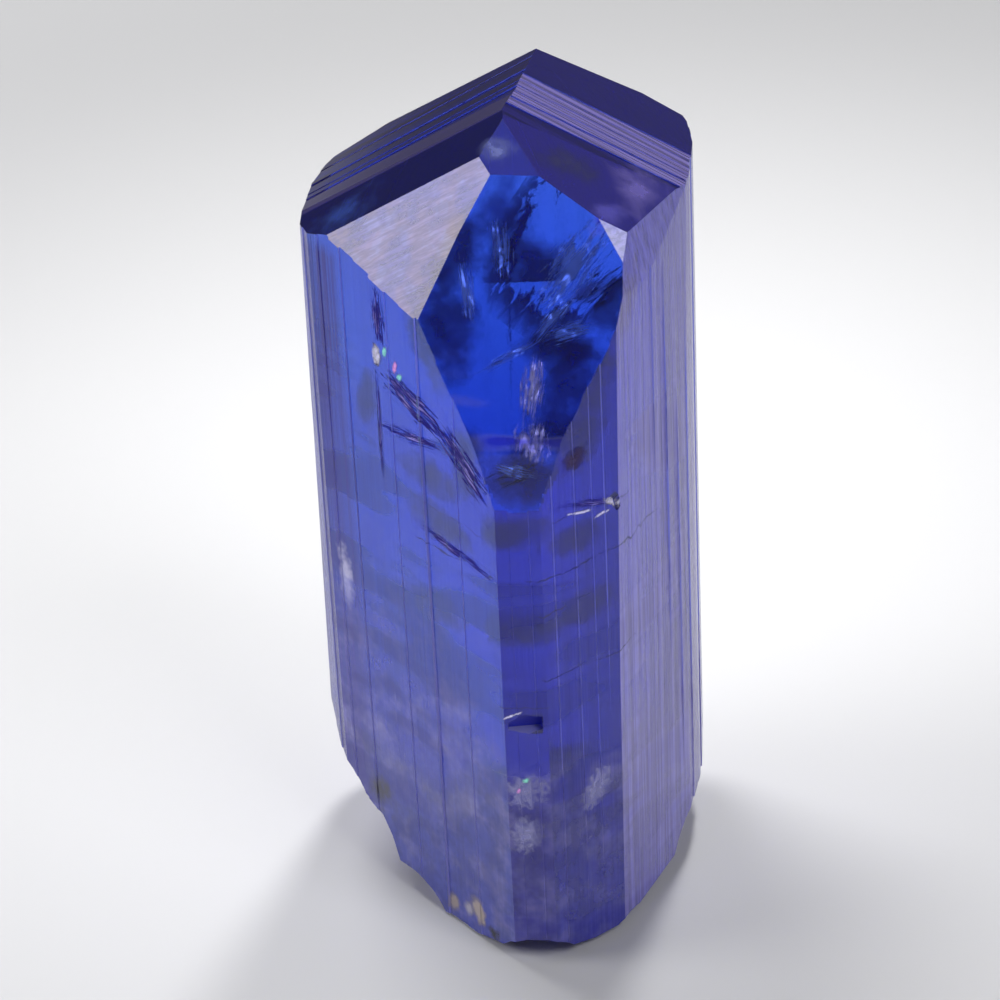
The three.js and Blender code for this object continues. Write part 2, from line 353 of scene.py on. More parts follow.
# Where the marks of the body and the roofs come in: from the first place, and in full from
# the second
FOOT_SIDES = (-1.5, 1.2)  # from the left side of the foot's milk to its right side
MILK_TOP = (12.5, 8.6)  # how high the milk reaches on those sides
MILK_FADE = (5.0, 1.0)  # over how much height to either side of that it thins out there
BANDS_BELOW = (26.0, 22.0)
BANDS_BEFORE = (1.0, -1.0)
CRACKS_BEFORE = (-0.5, -1.5)
ROOF_SLANT = 0.115  # how far forward the roofs' steps run per mm to the right
STEP_FRONT = (0.0, -0.1)
STEP_BACK = (1.75, 1.85)
GROOVES_BEFORE = (5.0, 3.5)
FLANK_LEFT_OF = (-5.2, -5.9)
FLANK_BEFORE = (0.2, -0.4)
FLANK_BELOW = (28.5, 27.5)
BODY_BELOW = (25.0, 20.5)
BODY_LEFT_OF = 2.7
LEDGES_BELOW = (25.0, 12.0)

# Colours that are laid over the faces' films
ROSE_BLOTCH = (0.40, 0.27, 0.36)
PALE_BLOTCH = (0.40, 0.37, 0.60)
ROOF_FRONT = (0.005, 0.006, 0.20)
ROOF_STEP = (0.055, 0.045, 0.16)
ROOF_BARS = (0.045, 0.028, 0.15)
FLANK = (0.05, 0.04, 0.26)
BODY = (0.03, 0.04, 0.36)
FOOT = (0.10, 0.09, 0.42)
FOOT_WHITE = (0.40, 0.38, 0.76)
# level bands of painted dark reflection
PAINTED_DARK_REFLECTION = (0.02, 0.02, 0.26)
LOW_LEDGE = (0.26, 0.26, 0.72)
CRACK = (0.03, 0.03, 0.14)

GEM_IOR = 1.69
GEM_SPECULAR = 0.25
ABSORBED = (0.27, 0.56, 0.965, 1.0)
ABSORPTION = 330.0  # per metre
RELIEF = 0.00006  # metres


def milky_foot(bench, right, height, lines, slow):
    """How far a point lies in the foot's milk, which ends higher up and softer on the left and
    is thinner on lined faces."""
    level = bench.ramp(right, *FOOT_SIDES, *MILK_TOP)
    depth = bench.ramp(right, *FOOT_SIDES, *MILK_FADE)
    waver = bench.calc("MULTIPLY_ADD", slow, 3.0, -1.5)
    below = bench.calc("SUBTRACT", bench.calc("ADD", level, waver), height)
    low = bench.ramp(bench.calc("DIVIDE", below, depth), -1.0, 1.0)
    return bench.calc("MULTIPLY", low, bench.calc("MULTIPLY_ADD", lines, -0.9, 1.0))


def dark_reflection_bands(bench, place, back, height):
    """Level dark bands through the front half of the body, painted reflections."""
    bands = bench.noise(bench.turned(place, scale=(0.10, 0.10, 0.42)), 1.0, 2.0, 0.6)
    painted_shade = bench.calc("MULTIPLY", bench.ramp(bands, 0.5, 0.6), bench.ramp(height, *BANDS_BELOW))
    return bench.calc("MULTIPLY", painted_shade, bench.ramp(back, *BANDS_BEFORE, 0.0, 0.5))


def cheek_scratches(bench, place):
    """Scratches that run along the left cheek's upper edge."""
    out_way = face_way(*LEFT_CHEEK)
    along = out_way.cross(face_way(*LEFT_ROOF)).normalized()
    flat_on = Matrix((along, out_way.cross(along), out_way)).to_euler()
    on_cheek = bench.turned(place, [math.degrees(angle) for angle in flat_on])
    return bench.noise(bench.turned(on_cheek, scale=(0.12, 1, 1)), 5.0, 3.0, 0.75)


def crack_marks(bench, right, back, height, slow, cloudy):
    """All the cracks in one, on the front half only. They wander, and fade here and there."""
    wander = bench.calc("MULTIPLY_ADD", slow, 0.9, -0.45)
    marks = None
    for level, rise, first, last, strong in CRACKS:
        line = bench.calc("ADD", bench.calc("MULTIPLY_ADD", right, rise, level), wander)
        away = bench.calc("ABSOLUTE", bench.calc("SUBTRACT", height, line))
        mark = bench.ramp(away, *CRACK_WIDTH, strong, 0.0)
        begun = bench.ramp(right, first - CRACK_TIP, first + CRACK_TIP)
        going_on = bench.ramp(right, last + CRACK_TIP, last - CRACK_TIP)
        mark = bench.calc("MULTIPLY", mark, begun)
        mark = bench.calc("MULTIPLY", mark, going_on)
        mark = bench.calc("MULTIPLY", mark, bench.ramp(cloudy, 0.4, 0.55, 0.2, 1.0))
        marks = mark if marks is None else bench.calc("MAXIMUM", marks, mark)
    return bench.calc("MULTIPLY", marks, bench.ramp(back, *CRACKS_BEFORE))


def patch_mark(bench, place, fleck, spot, size, longer):
    """Where one patch of the skin is, with a flecked rim."""
    shorter = [1 / (length * size) for length in longer]
    gap = bench.add("VectorMath", operation="DISTANCE")
    bench.links.new(bench.turned(place, scale=shorter), gap.inputs[0])
    gap.inputs[1].default_value = [part * short for part, short in zip(spot, shorter)]
    core = 0.4 if size < SMALL_PATCH else 0.0
    return bench.ramp(bench.calc("ADD", gap.outputs["Value"], fleck), 1.2, core)


def tanzanite():
    """Clear blue with absorption for depth. Film is the colour that a face's skin has, and
    milk is how far the skin hides the clear inside."""
    bench = Bench("tanzanite")
    place = bench.coordinates("Object", IN_MM)
    right, back, height = bench.split(place)
    finish = bench.add("Attribute", attribute_name="finish")
    parts = bench.add("SeparateColor")
    bench.links.new(finish.outputs["Color"], parts.inputs[0])
    frost, satin, lines = parts.outputs
    broken = finish.outputs["Alpha"]
    coated = bench.add("Attribute", attribute_name="film")
    film, kind = coated.outputs["Color"], coated.outputs["Alpha"]
    left_cheek, right_cheek, left_roof, right_roof, ledge = [
        bench.calc("COMPARE", kind, KINDS[name], 0.05)
        for name in ("left cheek", "right cheek", "left roof", "right roof", "ledge")
    ]
    cheek = bench.calc("ADD", left_cheek, right_cheek)

    # a slow noise that wavers borders and cracks, a cloudy one for the milk, and upright
    # growth lines, seen as paler and darker threads
    slow = bench.noise(place, 0.6, 3.0, 0.6)
    cloudy = bench.noise(place, 0.9, 3.0, 0.68)
    threads = bench.noise(bench.turned(place, scale=(1, 1, 0.012)), 5.0, 3.0, 0.7)
    thread_shade = bench.ramp(threads, 0.35, 0.7, 0.75, 1.3)

    low = milky_foot(bench, right, height, lines, slow)
    cloud = bench.ramp(cloudy, 0.4, 0.65)
    milk = bench.calc("MULTIPLY", low, bench.calc("MULTIPLY_ADD", cloud, 0.35, 0.5))
    # level bands of painted dark reflection, which also hide the clear inside
    painted_shade = dark_reflection_bands(bench, place, back, height)

    # cheeks: scratched, and blotched with rose and grey
    rose = bench.calc("MULTIPLY", bench.ramp(slow, 0.42, 0.6), left_cheek)
    film = bench.lay(bench.calc("MULTIPLY", rose, 0.8), ROSE_BLOTCH, film)
    pale = bench.calc("MULTIPLY", bench.ramp(cloudy, 0.5, 0.7), cheek)
    film = bench.lay(bench.calc("MULTIPLY", pale, 0.55), PALE_BLOTCH, film)
    scratches = bench.ramp(cheek_scratches(bench, place), 0.38, 0.66, -0.26, 0.26)
    scored = bench.calc("MULTIPLY", scratches, cheek)

    # right roof: fine grooves across it
    from_brow = bench.calc("MULTIPLY_ADD", right, ROOF_SLANT, back)
    groove = bench.ramp(bench.noise_along(from_brow, 4.0, 3.0, 0.7), 0.44, 0.56, -0.35, 0.35)
    groove = bench.calc("MULTIPLY", groove, bench.ramp(back, *GROOVES_BEFORE, 0.3, 1.0))
    scored = bench.calc("MULTIPLY_ADD", groove, right_roof, scored)

    # left roof: dark in front, then a grey step behind the brow, then bars
    before = bench.ramp(from_brow, *STEP_FRONT)
    beyond = bench.ramp(from_brow, *STEP_BACK)
    film = bench.lay(bench.calc("MULTIPLY", left_roof, before), ROOF_FRONT, film)
    on_step = bench.calc("SUBTRACT", bench.calc("SUBTRACT", 1.0, before), beyond)
    on_step = bench.calc("MULTIPLY", on_step, left_roof)
    film = bench.lay(on_step, ROOF_STEP, film)
    frost = bench.calc("MULTIPLY_ADD", on_step, 0.4, frost)
    bars = bench.ramp(bench.noise_along(from_brow, 1.3, 2.0, 0.5), 0.42, 0.6)
    bars = bench.calc("MULTIPLY", bars, beyond)
    film = bench.lay(bench.calc("MULTIPLY", bars, left_roof), ROOF_BARS, film)

    # a dark side to the left front
    flank = bench.calc(
        "MULTIPLY", bench.ramp(right, *FLANK_LEFT_OF), bench.ramp(back, *FLANK_BEFORE),
    )
    flank = bench.calc("MULTIPLY", flank, bench.ramp(height, *FLANK_BELOW))
    flank = bench.calc("MULTIPLY", flank, bench.ramp(threads, 0.35, 0.6, 0.45, 1.0))
    film = bench.lay(flank, FLANK, film)
    frost = bench.calc("MULTIPLY_ADD", flank, 0.3, frost)

    # lower down: a body of a deeper colour, the foot with its white clouds, level bands of
    # painted dark reflection and paler ledges
    deeper = bench.ramp(height, *BODY_BELOW, 0.0, 0.45)
    deeper = bench.calc("MULTIPLY", deeper, bench.calc("LESS_THAN", right, BODY_LEFT_OF))
    film = bench.lay(deeper, BODY, film)
    film = bench.lay(low, FOOT, film)
    white = bench.calc("MULTIPLY", bench.ramp(slow, 0.40, 0.75), low)
    film = bench.lay(bench.calc("MULTIPLY", white, 0.7), FOOT_WHITE, film)
    film = bench.lay(painted_shade, PAINTED_DARK_REFLECTION, film)
    low_ledge = bench.calc("MULTIPLY", ledge, bench.ramp(height, *LEDGES_BELOW))
    film = bench.lay(low_ledge, LOW_LEDGE, film)

    # growth lines, scratches and grooves make the film paler and darker
    shade = bench.calc("MULTIPLY_ADD", bench.calc("SUBTRACT", thread_shade, 1.0), lines, 1.0)
    shade = bench.calc("ADD", shade, scored)
    shaded = bench.add("VectorMath", operation="SCALE")
    bench.links.new(film, shaded.inputs[0])
    bench.links.new(shade, shaded.inputs["Scale"])
    film = shaded.outputs[0]
    milk = bench.calc("ADD", bench.calc("ADD", milk, painted_shade), frost, clamp=True)

    cracks = crack_marks(bench, right, back, height, slow, cloudy)
    film = bench.lay(cracks, CRACK, film)
    milk = bench.calc("MAXIMUM", milk, cracks)

    fleck = bench.calc("MULTIPLY_ADD", cloudy, 2.4, -1.2)
    for spot, size, longer, colour, solid in PATCHES:
        mark = patch_mark(bench, place, fleck, spot, size, longer)
        film = bench.lay(mark, colour, film)
        milk = bench.calc("MAXIMUM", milk, bench.calc("MULTIPLY", mark, solid))

    # relief: growth lines on the prism, shell marks on the break
    marks = bench.calc("MULTIPLY", cloudy, broken)
    relief = bench.calc("MULTIPLY_ADD", marks, 6.0, bench.calc("MULTIPLY", threads, lines))
    bump = bench.add("Bump")
    bump.inputs["Strength"].default_value = 1.0
    bump.inputs["Distance"].default_value = RELIEF
    bench.links.new(relief, bump.inputs["Height"])

    tone = bench.ramp(milk, 0.0, 0.16, soft=False)
    rough = bench.calc("MULTIPLY_ADD", satin, 0.32, 0.015)
    bench.surface(
        Transmission_Weight=bench.ramp(milk, 0.0, 1.0, 1.0, 0.1, soft=False),
        Base_Color=bench.blend(tone, (1, 1, 1, 1), film),
        Roughness=bench.calc("MULTIPLY_ADD", low, 0.16, rough),
        Normal=bump.outputs["Normal"],
        IOR=GEM_IOR,
        Specular_IOR_Level=GEM_SPECULAR,
    )
    tint = bench.add("VolumeAbsorption")
    tint.inputs["Color"].default_value = ABSORBED
    tint.inputs["Density"].default_value = ABSORPTION
    bench.links.new(tint.outputs["Volume"], bench.out.inputs["Volume"])
    return bench.material


def make_crystal():
    """A copy of the solid with its points merged, its edges worn and its faces marked."""
    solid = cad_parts["crystal"]
    crystal = solid.copy()
    crystal.data = solid.data.copy()
    crystal.name = "tanzanite_crystal"
    bpy.context.scene.collection.objects.link(crystal)
    crystal.parent = None
    for key in list(crystal.keys()):
        del crystal[key]
    edit(crystal, bpy.ops.mesh.remove_doubles, threshold=SEAM)
    bpy.ops.mesh.customdata_custom_splitnormals_clear()
    bpy.ops.object.shade_flat()
    crystal.data.materials.clear()
    mark_faces(crystal, wear_edges(crystal))
    crystal.data.materials.append(tanzanite())
    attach(crystal, "root")
    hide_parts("crystal")
    return crystal


# ---- Films of the veils and feathers ----

def out_from_middle(bench):
    """How far out a point of a sheet is: 0 at its middle and 1 at the middle of a side."""
    across, along, _ = bench.split(bench.add("TexCoord").outputs["UV"])
    x = bench.calc("MULTIPLY_ADD", across, 2.0, -1.0)
    y = bench.calc("MULTIPLY_ADD", along, 2.0, -1.0)
    return bench.calc("ADD", bench.calc("MULTIPLY", x, x), bench.calc("MULTIPLY", y, y))


GRAIN = 2.2  # how much its clouds break up most soft films


def smoke_film(name, colour, strong, ragged_size=0.7, grain=GRAIN):
    """A soft film with a ragged rim. Strong is how far it hides what is behind, ragged size
    how fine its clouds are, and grain how much they break it up."""
    bench = Bench(name)
    ragged = bench.noise(bench.coordinates("Object", IN_MM), ragged_size, 4.0, 0.6)
    edge = bench.calc("MULTIPLY_ADD", ragged, grain, out_from_middle(bench))
    edge = bench.calc("ADD", edge, 0.5 * (GRAIN - grain))
    bench.surface(
        Base_Color=(*colour, 1),
        Alpha=bench.ramp(edge, 2.1, 0.8, 0.0, strong),
        Roughness=0.6,
        Specular_IOR_Level=0.0,
    )
    return bench.material


def feather_film(name, colour, strokes, cover, strong, shine=0.0, clearing=False, painted_highlight=None):
    """Fine strokes along the film's length, thinning out at its sides. Cover is how much of
    the middle the strokes fill. A clearing is smoky all round and clear in the middle, with
    strokes along its edge. The painted highlight, if given, is the colour of the strokes'
    cores, and shine how much they gleam like metal."""
    bench = Bench(name)
    apart = bench.add("VectorMath", operation="ADD")
    bench.links.new(bench.coordinates("UV", strokes), apart.inputs[0])
    bench.links.new(bench.coordinates("Object", (500, 500, 500)), apart.inputs[1])
    stroke = bench.noise(apart.outputs[0], 1.0, 5.0, 0.65, 0.6)
    out = out_from_middle(bench)
    if clearing:
        height = bench.calc("MULTIPLY_ADD", stroke, 2.2, out)
        inner = bench.ramp(height, 1.35 - cover, 1.55 - cover, 0.0, strong)
        outer = bench.ramp(bench.calc("MULTIPLY_ADD", stroke, 0.8, out), 1.6, 0.9)
        alpha = bench.calc("MULTIPLY", inner, outer)
    else:
        height = bench.calc("MULTIPLY_ADD", out, -0.3, stroke)
        alpha = bench.ramp(height, 0.62 - cover, 0.74 - cover, 0.0, strong)
    paint = (*colour, 1)
    # a painted highlight on the strokes' cores
    if painted_highlight:
        core = bench.ramp(height, 0.76 - cover, 0.86 - cover)
        paint = bench.blend(core, (*colour, 1), (*painted_highlight, 1))
    bench.surface(
        Base_Color=paint, Alpha=alpha, Metallic=shine, Roughness=0.35, Specular_IOR_Level=0.0,
    )
    return bench.material


def make_films():
    azure = (0.14, 0.24, 1.0)
    dark = (0.006, 0.01, 0.2)
    navy = (0.008, 0.012, 0.38)
    plum = (0.045, 0.035, 0.24)
    plum_painted_highlight = (0.45, 0.40, 0.95)
    pale = (0.52, 0.46, 0.98)
    # how close strokes lie along, across and through a feather
    broad = (2.5, 12.0, 1.0)
    plain = (2.5, 14.0, 1.0)
    fine = (2.5, 18.0, 1.0)
    finest = (3.0, 22.0, 1.0)
    return {
        "royal": smoke_film("royal_zone", (0.01, 0.02, 0.62), 0.58),
        # painted shade: a dark sheet for the dark patches that the window shows
        "painted_shade": smoke_film("painted_shade", (0.008, 0.015, 0.42), 0.8),
        "soft_smoke": smoke_film("soft_smoke", (0.012, 0.022, 0.50), 0.6),
        "rust": smoke_film("rusty_veil", (0.06, 0.02, 0.10), 0.5),
        "tint": smoke_film("violet_tint", (0.10, 0.07, 0.27), 0.6),
        "brown": smoke_film("brown_flake", (0.085, 0.065, 0.16), 0.9, 2.0),
        # painted glints: white and rainbow sheets that stand in for light caught by small fractures
        "painted_glint": smoke_film("painted_white_glint", (0.80, 0.78, 1.0), 1.0, 6.0, 1.9),
        "rose_painted_glint": smoke_film("rose_painted_glint", (0.95, 0.45, 0.95), 1.0, 5.0),
        "green_painted_glint": smoke_film("green_painted_glint", (0.40, 0.95, 0.85), 1.0, 5.0),
        "cloud": smoke_film("milk_cloud", (0.56, 0.56, 0.95), 0.34, 3.6, 2.7),
        "azure": feather_film("azure_feather", azure, fine, 0.22, 0.9, shine=1.0),
        "dark": feather_film("dark_feather", dark, fine, 0.15, 0.85),
        "plum": feather_film("plum_strokes", plum, plain, 0.24, 0.95, painted_highlight=plum_painted_highlight),
        "pale": feather_film("pale_fibres", pale, finest, 0.25, 0.95, shine=1.0),
        "clearing": feather_film("clearing", navy, broad, -0.25, 0.8, clearing=True),
    }


# ---- Veils and feathers inside the crystal ----

class Look:
    """A way of looking into the crystal: a place in mm on a face, and the ways to the right, up
    and inwards from there."""

    def __init__(self, place, inwards):
        self.place = Vector(place)
        self.inwards = Vector(inwards).normalized()
        self.right = self.inwards.cross(Vector((0, 0, 1))).normalized()
        self.up = self.right.cross(self.inwards)

    def at(self, right, up, inwards):
        return self.place + self.right * right + self.up * up + self.inwards * inwards


WINDOW = Look((2.0, -6.2, 26.1), (-0.074, 0.908, -0.413))
LEFT_SIDE = Look((-2.98, -4.52, 21.69), (0.705, 0.709, 0.0))
FRONT_SIDE = Look((1.75, -8.58, 19.0), (0.0, 1.0, 0.0))
RIGHT_SIDE = Look((3.97, -7.34, 21.94), (-0.716, 0.698, 0.0))

# The sheets behind each side: name, film, place to the right, up and inwards, turn, length
# and width. A sheet at 0 inwards is laid on the crystal's faces, and one below 0 lies flat
# before them.
BEHIND_WINDOW = (
    # dark sheets of painted shade in the window
    ("painted_shade_left", "painted_shade", (-2.7, 0.7, 2.0), 102, (5.2, 2.8)),
    ("painted_shade_left_high", "painted_shade", (-2.2, 3.3, 1.7), 62, (3.8, 2.0)),
    ("painted_shade_right", "painted_shade", (1.6, -2.4, 1.5), 70, (6.8, 3.2)),
    ("painted_shade_right_high", "painted_shade", (3.5, 1.3, 1.4), 66, (3.4, 1.6)),
    ("painted_shade_middle", "painted_shade", (1.4, -0.2, 1.6), 5, (3.6, 2.2)),
    ("royal_top", "royal", (-0.45, 4.6, 1.5), 95, (4.6, 2.8)),
    ("clearing_right", "clearing", (2.1, 3.8, 1.3), 55, (8.0, 5.6)),
    ("rusty_gap", "rust", (2.6, 1.9, 1.1), 22, (2.4, 0.9)),
    ("feather_right", "azure", (2.0, 2.8, 0.8), 52, (5.2, 2.6)),
    ("feather_right_low", "dark", (3.1, 2.0, 0.95), 38, (4.4, 2.0)),
    ("feather_left", "azure", (-1.95, 2.0, 0.8), 97, (3.6, 0.9)),
    ("feather_middle", "azure", (-0.6, 3.6, 1.0), 93, (3.4, 1.3)),
    ("column_edge", "dark", (-0.35, 0.6, 0.9), 90, (8.5, 0.35)),
    ("streak_low", "azure", (-0.45, -0.45, 0.7), 27, (3.6, 0.5)),
    ("streak_high", "azure", (1.28, 0.9, 0.7), 48, (3.2, 0.8)),
    ("streak_wide", "azure", (1.8, 0.4, 0.9), 16, (2.8, 1.2)),
    ("fibres_middle", "pale", (0.45, -1.7, 0.6), 82, (3.2, 1.2)),
    ("fibres_low", "pale", (0.4, -3.7, 0.5), 84, (2.2, 2.0)),
    ("curls_tip", "dark", (-0.3, -4.8, 0.2), 20, (3.0, 1.8)),
    ("curls_tip_shine", "azure", (-0.3, -4.7, 0.15), -15, (2.2, 0.8)),
    ("painted_shade_tip", "painted_shade", (-0.35, -5.0, 0.3), 4, (4.2, 2.8)),
)
BEHIND_LEFT_SIDE = (
    # a painted glint on the chip, and painted rainbow glints beside it
    ("left_chip_painted_glint", "painted_glint", (-1.15, 2.8, -0.09), 84, (1.1, 0.6)),
    ("left_spark_high", "green_painted_glint", (-0.6, 3.1, 0.0), 70, (0.6, 0.3)),
    ("left_spark_rose", "rose_painted_glint", (0.0, 2.65, 0.0), 70, (0.75, 0.3)),
    ("left_spark_low", "green_painted_glint", (0.25, 2.3, 0.0), 20, (0.5, 0.35)),
    ("left_dent", "plum", (-0.9, 4.4, 0.0), 93, (3.6, 1.2)),
    ("left_line", "plum", (-1.25, -0.2, 0.0), 90, (6.4, 0.45)),
    ("left_fracture", "plum", (1.0, 1.5, 0.0), -22, (5.4, 1.6)),
    ("left_fracture_low", "plum", (3.9, 0.0, 0.0), -38, (5.0, 1.8)),
    ("left_fracture_back", "plum", (0.9, 0.0, 0.0), 4, (5.0, 0.7)),
    ("left_crack_low", "plum", (3.1, -4.0, 0.0), -8, (5.4, 0.6)),
    ("left_tint", "tint", (3.9, -0.2, 0.6), 80, (3.6, 2.4)),
    ("left_smoke", "soft_smoke", (1.8, -3.4, 0.8), -6, (5.0, 2.0)),
    ("left_smoke_mid", "soft_smoke", (1.5, -1.5, 0.7), -5, (4.6, 1.8)),
    ("left_smoke_side", "soft_smoke", (-2.4, 0.6, 0.6), 70, (3.0, 1.4)),
    ("left_smoke_low", "soft_smoke", (0.5, -7.5, 0.8), 8, (6.0, 2.0)),
)
BEHIND_FRONT_SIDE = (
    ("front_smoke", "soft_smoke", (0.0, 0.3, 0.8), 0, (3.6, 1.8)),
    ("front_smoke_low", "soft_smoke", (0.0, -4.0, 0.8), 6, (4.0, 1.8)),
    ("front_cloud", "cloud", (0.1, -10.9, 0.0), 30, (2.2, 1.8)),
    ("front_cloud_low", "cloud", (0.0, -12.9, 0.0), 70, (2.0, 1.6)),
    # painted rainbow glints, and a painted glint on the notch
    ("front_spark_green", "green_painted_glint", (0.1, -10.4, 0.0), 20, (0.35, 0.25)),
    ("front_spark_rose", "rose_painted_glint", (-0.2, -10.9, 0.0), 70, (0.35, 0.2)),
    ("notch_painted_glint", "painted_glint", (-0.35, -7.5, 0.0), 25, (1.0, 0.12)),
)
BEHIND_RIGHT_SIDE = (
    ("right_flake", "brown", (0.1, 0.0, 0.0), 12, (1.5, 0.9)),
    ("right_crack", "plum", (0.9, -2.1, 0.0), -14, (4.4, 0.4)),
    # painted glints along the crack
    ("right_crack_painted_glint", "painted_glint", (1.8, -2.35, 0.0), -35, (1.1, 0.35)),
    ("right_crack_glint", "painted_glint", (0.3, -2.3, 0.0), -10, (1.6, 0.14)),
    ("right_crack_painted_glint_low", "painted_glint", (1.3, -2.7, 0.0), 10, (0.9, 0.16)),
    ("right_cloud", "cloud", (0.6, -14.6, 0.0), 50, (2.2, 1.6)),
    ("right_smoke", "soft_smoke", (0.5, -3.6, 0.9), -6, (4.0, 1.5)),
    ("right_smoke_mid", "soft_smoke", (0.8, -6.6, 0.9), 4, (4.4, 1.7)),
)

SHEET_STEPS = 32  # parts along each side of a sheet
SHEET_WALL = 0.01
LAID_OFF = 0.012  # from a face to the outer side of a sheet that is laid on it
WIDEST_MARGIN = 0.15  # what the deep sheets keep from the faces
FOLDS = (0.5, 1.2)  # how deep and how wide the folds of a sheet are
BROW_FOLDS = (0.3, 2.0)

# Ways in which a sheet could come out: those of the faces above, and of the facets and side
# faces that have no row there
WAYS_OUT = [face_way(*face[1]) for face in FACES] + [
    face_way(*way) for way in ((0.5, 62), (0.5, 67), (0.5, 71.5), (-90, 90), (100, 90), (-135, 90))
]


def keep_inside(sheet, crystal, margin):
    """Trims a sheet where it would come out of the crystal: first along the outermost faces,
    then wherever a point of it is still out or less than half the margin in."""
    corners = [corner.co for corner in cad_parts["crystal"].data.vertices]
    for way in WAYS_OUT:
        reach = max(corner.dot(way) for corner in corners) - margin
        if max(corner.co.dot(way) for corner in sheet.data.vertices) > reach:
            edit(sheet, bpy.ops.mesh.bisect, plane_co=way * reach, plane_no=way, clear_outer=True)
    out = []
    for corner in sheet.data.vertices:
        _, near, way, _ = crystal.closest_point_on_mesh(corner.co)
        out.append((corner.co - near).dot(way) > -0.5 * margin)
    if not any(out):
        return
    sheet.data.polygons.foreach_set("select", [False] * len(sheet.data.polygons))
    sheet.data.edges.foreach_set("select", [False] * len(sheet.data.edges))
    sheet.data.vertices.foreach_set("select", out)
    only(sheet)
    bpy.ops.object.mode_set(mode="EDIT")
    bpy.ops.mesh.select_mode(type="VERT")
    bpy.ops.mesh.delete(type="VERT")
    bpy.ops.object.mode_set(mode="OBJECT")


def make_sheet(name, film, look, place, spin, size, crystal, folds=FOLDS, half=False):
    """A thin sheet across a look: its middle to the right, up and inwards, its turn, and its
    length and width. Inside the crystal it is crumpled into folds and trimmed. A half sheet
    ends straight at its middle."""
    deselect_all()
    bpy.ops.mesh.primitive_grid_add(x_subdivisions=SHEET_STEPS, y_subdivisions=SHEET_STEPS, size=1.0)
    sheet = bpy.context.object
    sheet.name = name
    middle = look.at(*place) * MM
    length, width = size
    sheet.matrix_world = (
        Matrix.Translation(middle)
        @ Matrix((look.right, look.up, -look.inwards)).transposed().to_4x4()
        @ Matrix.Rotation(math.radians(spin), 4, "Z")
        @ Matrix.Diagonal((length * MM, width * MM, 1.0, 1.0))
    )
    bpy.ops.object.transform_apply(location=True, rotation=True, scale=True)
    if half:
        edit(sheet, bpy.ops.mesh.bisect, plane_co=middle, plane_no=look.up, clear_inner=True)
    inwards = place[2]
    if inwards > 0:
        deep, wide = folds
        clouds = bpy.data.textures.new(name + "_folds", "CLOUDS")
        clouds.noise_scale = wide * MM
        clouds.noise_depth = 3
        finish_with(
            sheet, "DISPLACE", "crumple",
            texture=clouds, texture_coords="LOCAL", strength=deep * MM, mid_level=0.5,
        )
        keep_inside(sheet, crystal, min(inwards * 0.5, WIDEST_MARGIN) * MM)
    elif inwards == 0:
        finish_with(
            sheet, "SHRINKWRAP", "lay",
            target=crystal, wrap_mode="ABOVE_SURFACE", offset=LAID_OFF * MM,
        )
    finish_with(sheet, "SOLIDIFY", "wall", thickness=SHEET_WALL * MM)
    bpy.ops.object.shade_smooth()
    sheet.data.materials.append(film)
    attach(sheet, "root")


def make_veils(crystal):
    films = make_films()
    for look, sheets in (
        (WINDOW, BEHIND_WINDOW),
        (LEFT_SIDE, BEHIND_LEFT_SIDE),
        (FRONT_SIDE, BEHIND_FRONT_SIDE),
        (RIGHT_SIDE, BEHIND_RIGHT_SIDE),
    ):
        for name, film, place, spin, size in sheets:
            make_sheet(name, films[film], look, place, spin, size, crystal)
    # painted shade under the brow: a dark sheet which ends at a straight level border
    make_sheet(
        "painted_shade_brow", films["painted_shade"], WINDOW, place=(0.5, 2.3, 2.2), spin=0, size=(4.2, 4.2),
        crystal=crystal, folds=BROW_FOLDS, half=True,
    )


# ---- Table, light and camera ----

# Camera: its place, how far it is turned, tilted down and rolled, and its lens and sensor
CAMERA_PLACE = (17.09, -113.54, 74.92)
CAMERA_TURN = 8.52
CAMERA_DOWN = 27.0
CAMERA_ROLL = 2.83
CAMERA_LENS = 115.34
CAMERA_SENSOR = 36.0
CAMERA_NEAREST = 5.0  # nearer things aren't seen

TABLE_SIZE = 6.0  # metres
TABLE_COLOUR = (0.60, 0.60, 0.61, 1.0)
ROOM_COLOUR = (0.98, 0.98, 1.0, 1.0)
ROOM_LEAN = 0.16  # how much sooner the room gets dark to the back than to the front
ROOM_RISE = (-0.02, 0.2)  # how far up the room starts to get dark and is darkest, level at 0
ROOM_STRENGTH = (0.42, 0.10)  # its light at those two

# Soft lamps, aimed at the crystal's middle, in metres and watts: the way to each, its
# distance, size and power
LAMP_AIM = (0.0, 0.0, 0.017)
LAMPS = (
    ("key", (-0.827, -0.189, 0.532), 0.4, 0.22, 0.62),
    ("fill", (0.542, -0.470, 0.696), 0.45, 0.2, 0.7),
    ("top", (-0.35, 0.45, 0.82), 0.5, 0.25, 1.6),
)

# A spot that lights the table behind the crystal, so that blue glows inside it, in the same
# units, with its cone in degrees
GLOW_AIM = (-0.001, 0.032, 0.0)
GLOW_WAY = (0.1, 0.5, 0.86)
GLOW_DISTANCE = 0.5
GLOW_SIZE = 0.04
GLOW_POWER = 14.0
GLOW_CONE = 11.0


def make_table():
    deselect_all()
    bpy.ops.mesh.primitive_plane_add(size=TABLE_SIZE, location=(0.0, 0.0, 0.0))
    table = bpy.context.object
    table.name = "table"
    bench = Bench("pale_table")
    bench.surface(Base_Color=TABLE_COLOUR, Roughness=0.9, Specular_IOR_Level=0.1)
    table.data.materials.append(bench.material)


def hang(name, lamp, aim, towards, distance):
    """Hangs a lamp at a distance from what it is aimed at."""
    way = Vector(towards).normalized()
    obj = bpy.data.objects.new(name, lamp)
    obj.location = Vector(aim) + way * distance
    obj.rotation_euler = way.to_track_quat("Z", "Y").to_euler()
    bpy.context.scene.collection.objects.link(obj)


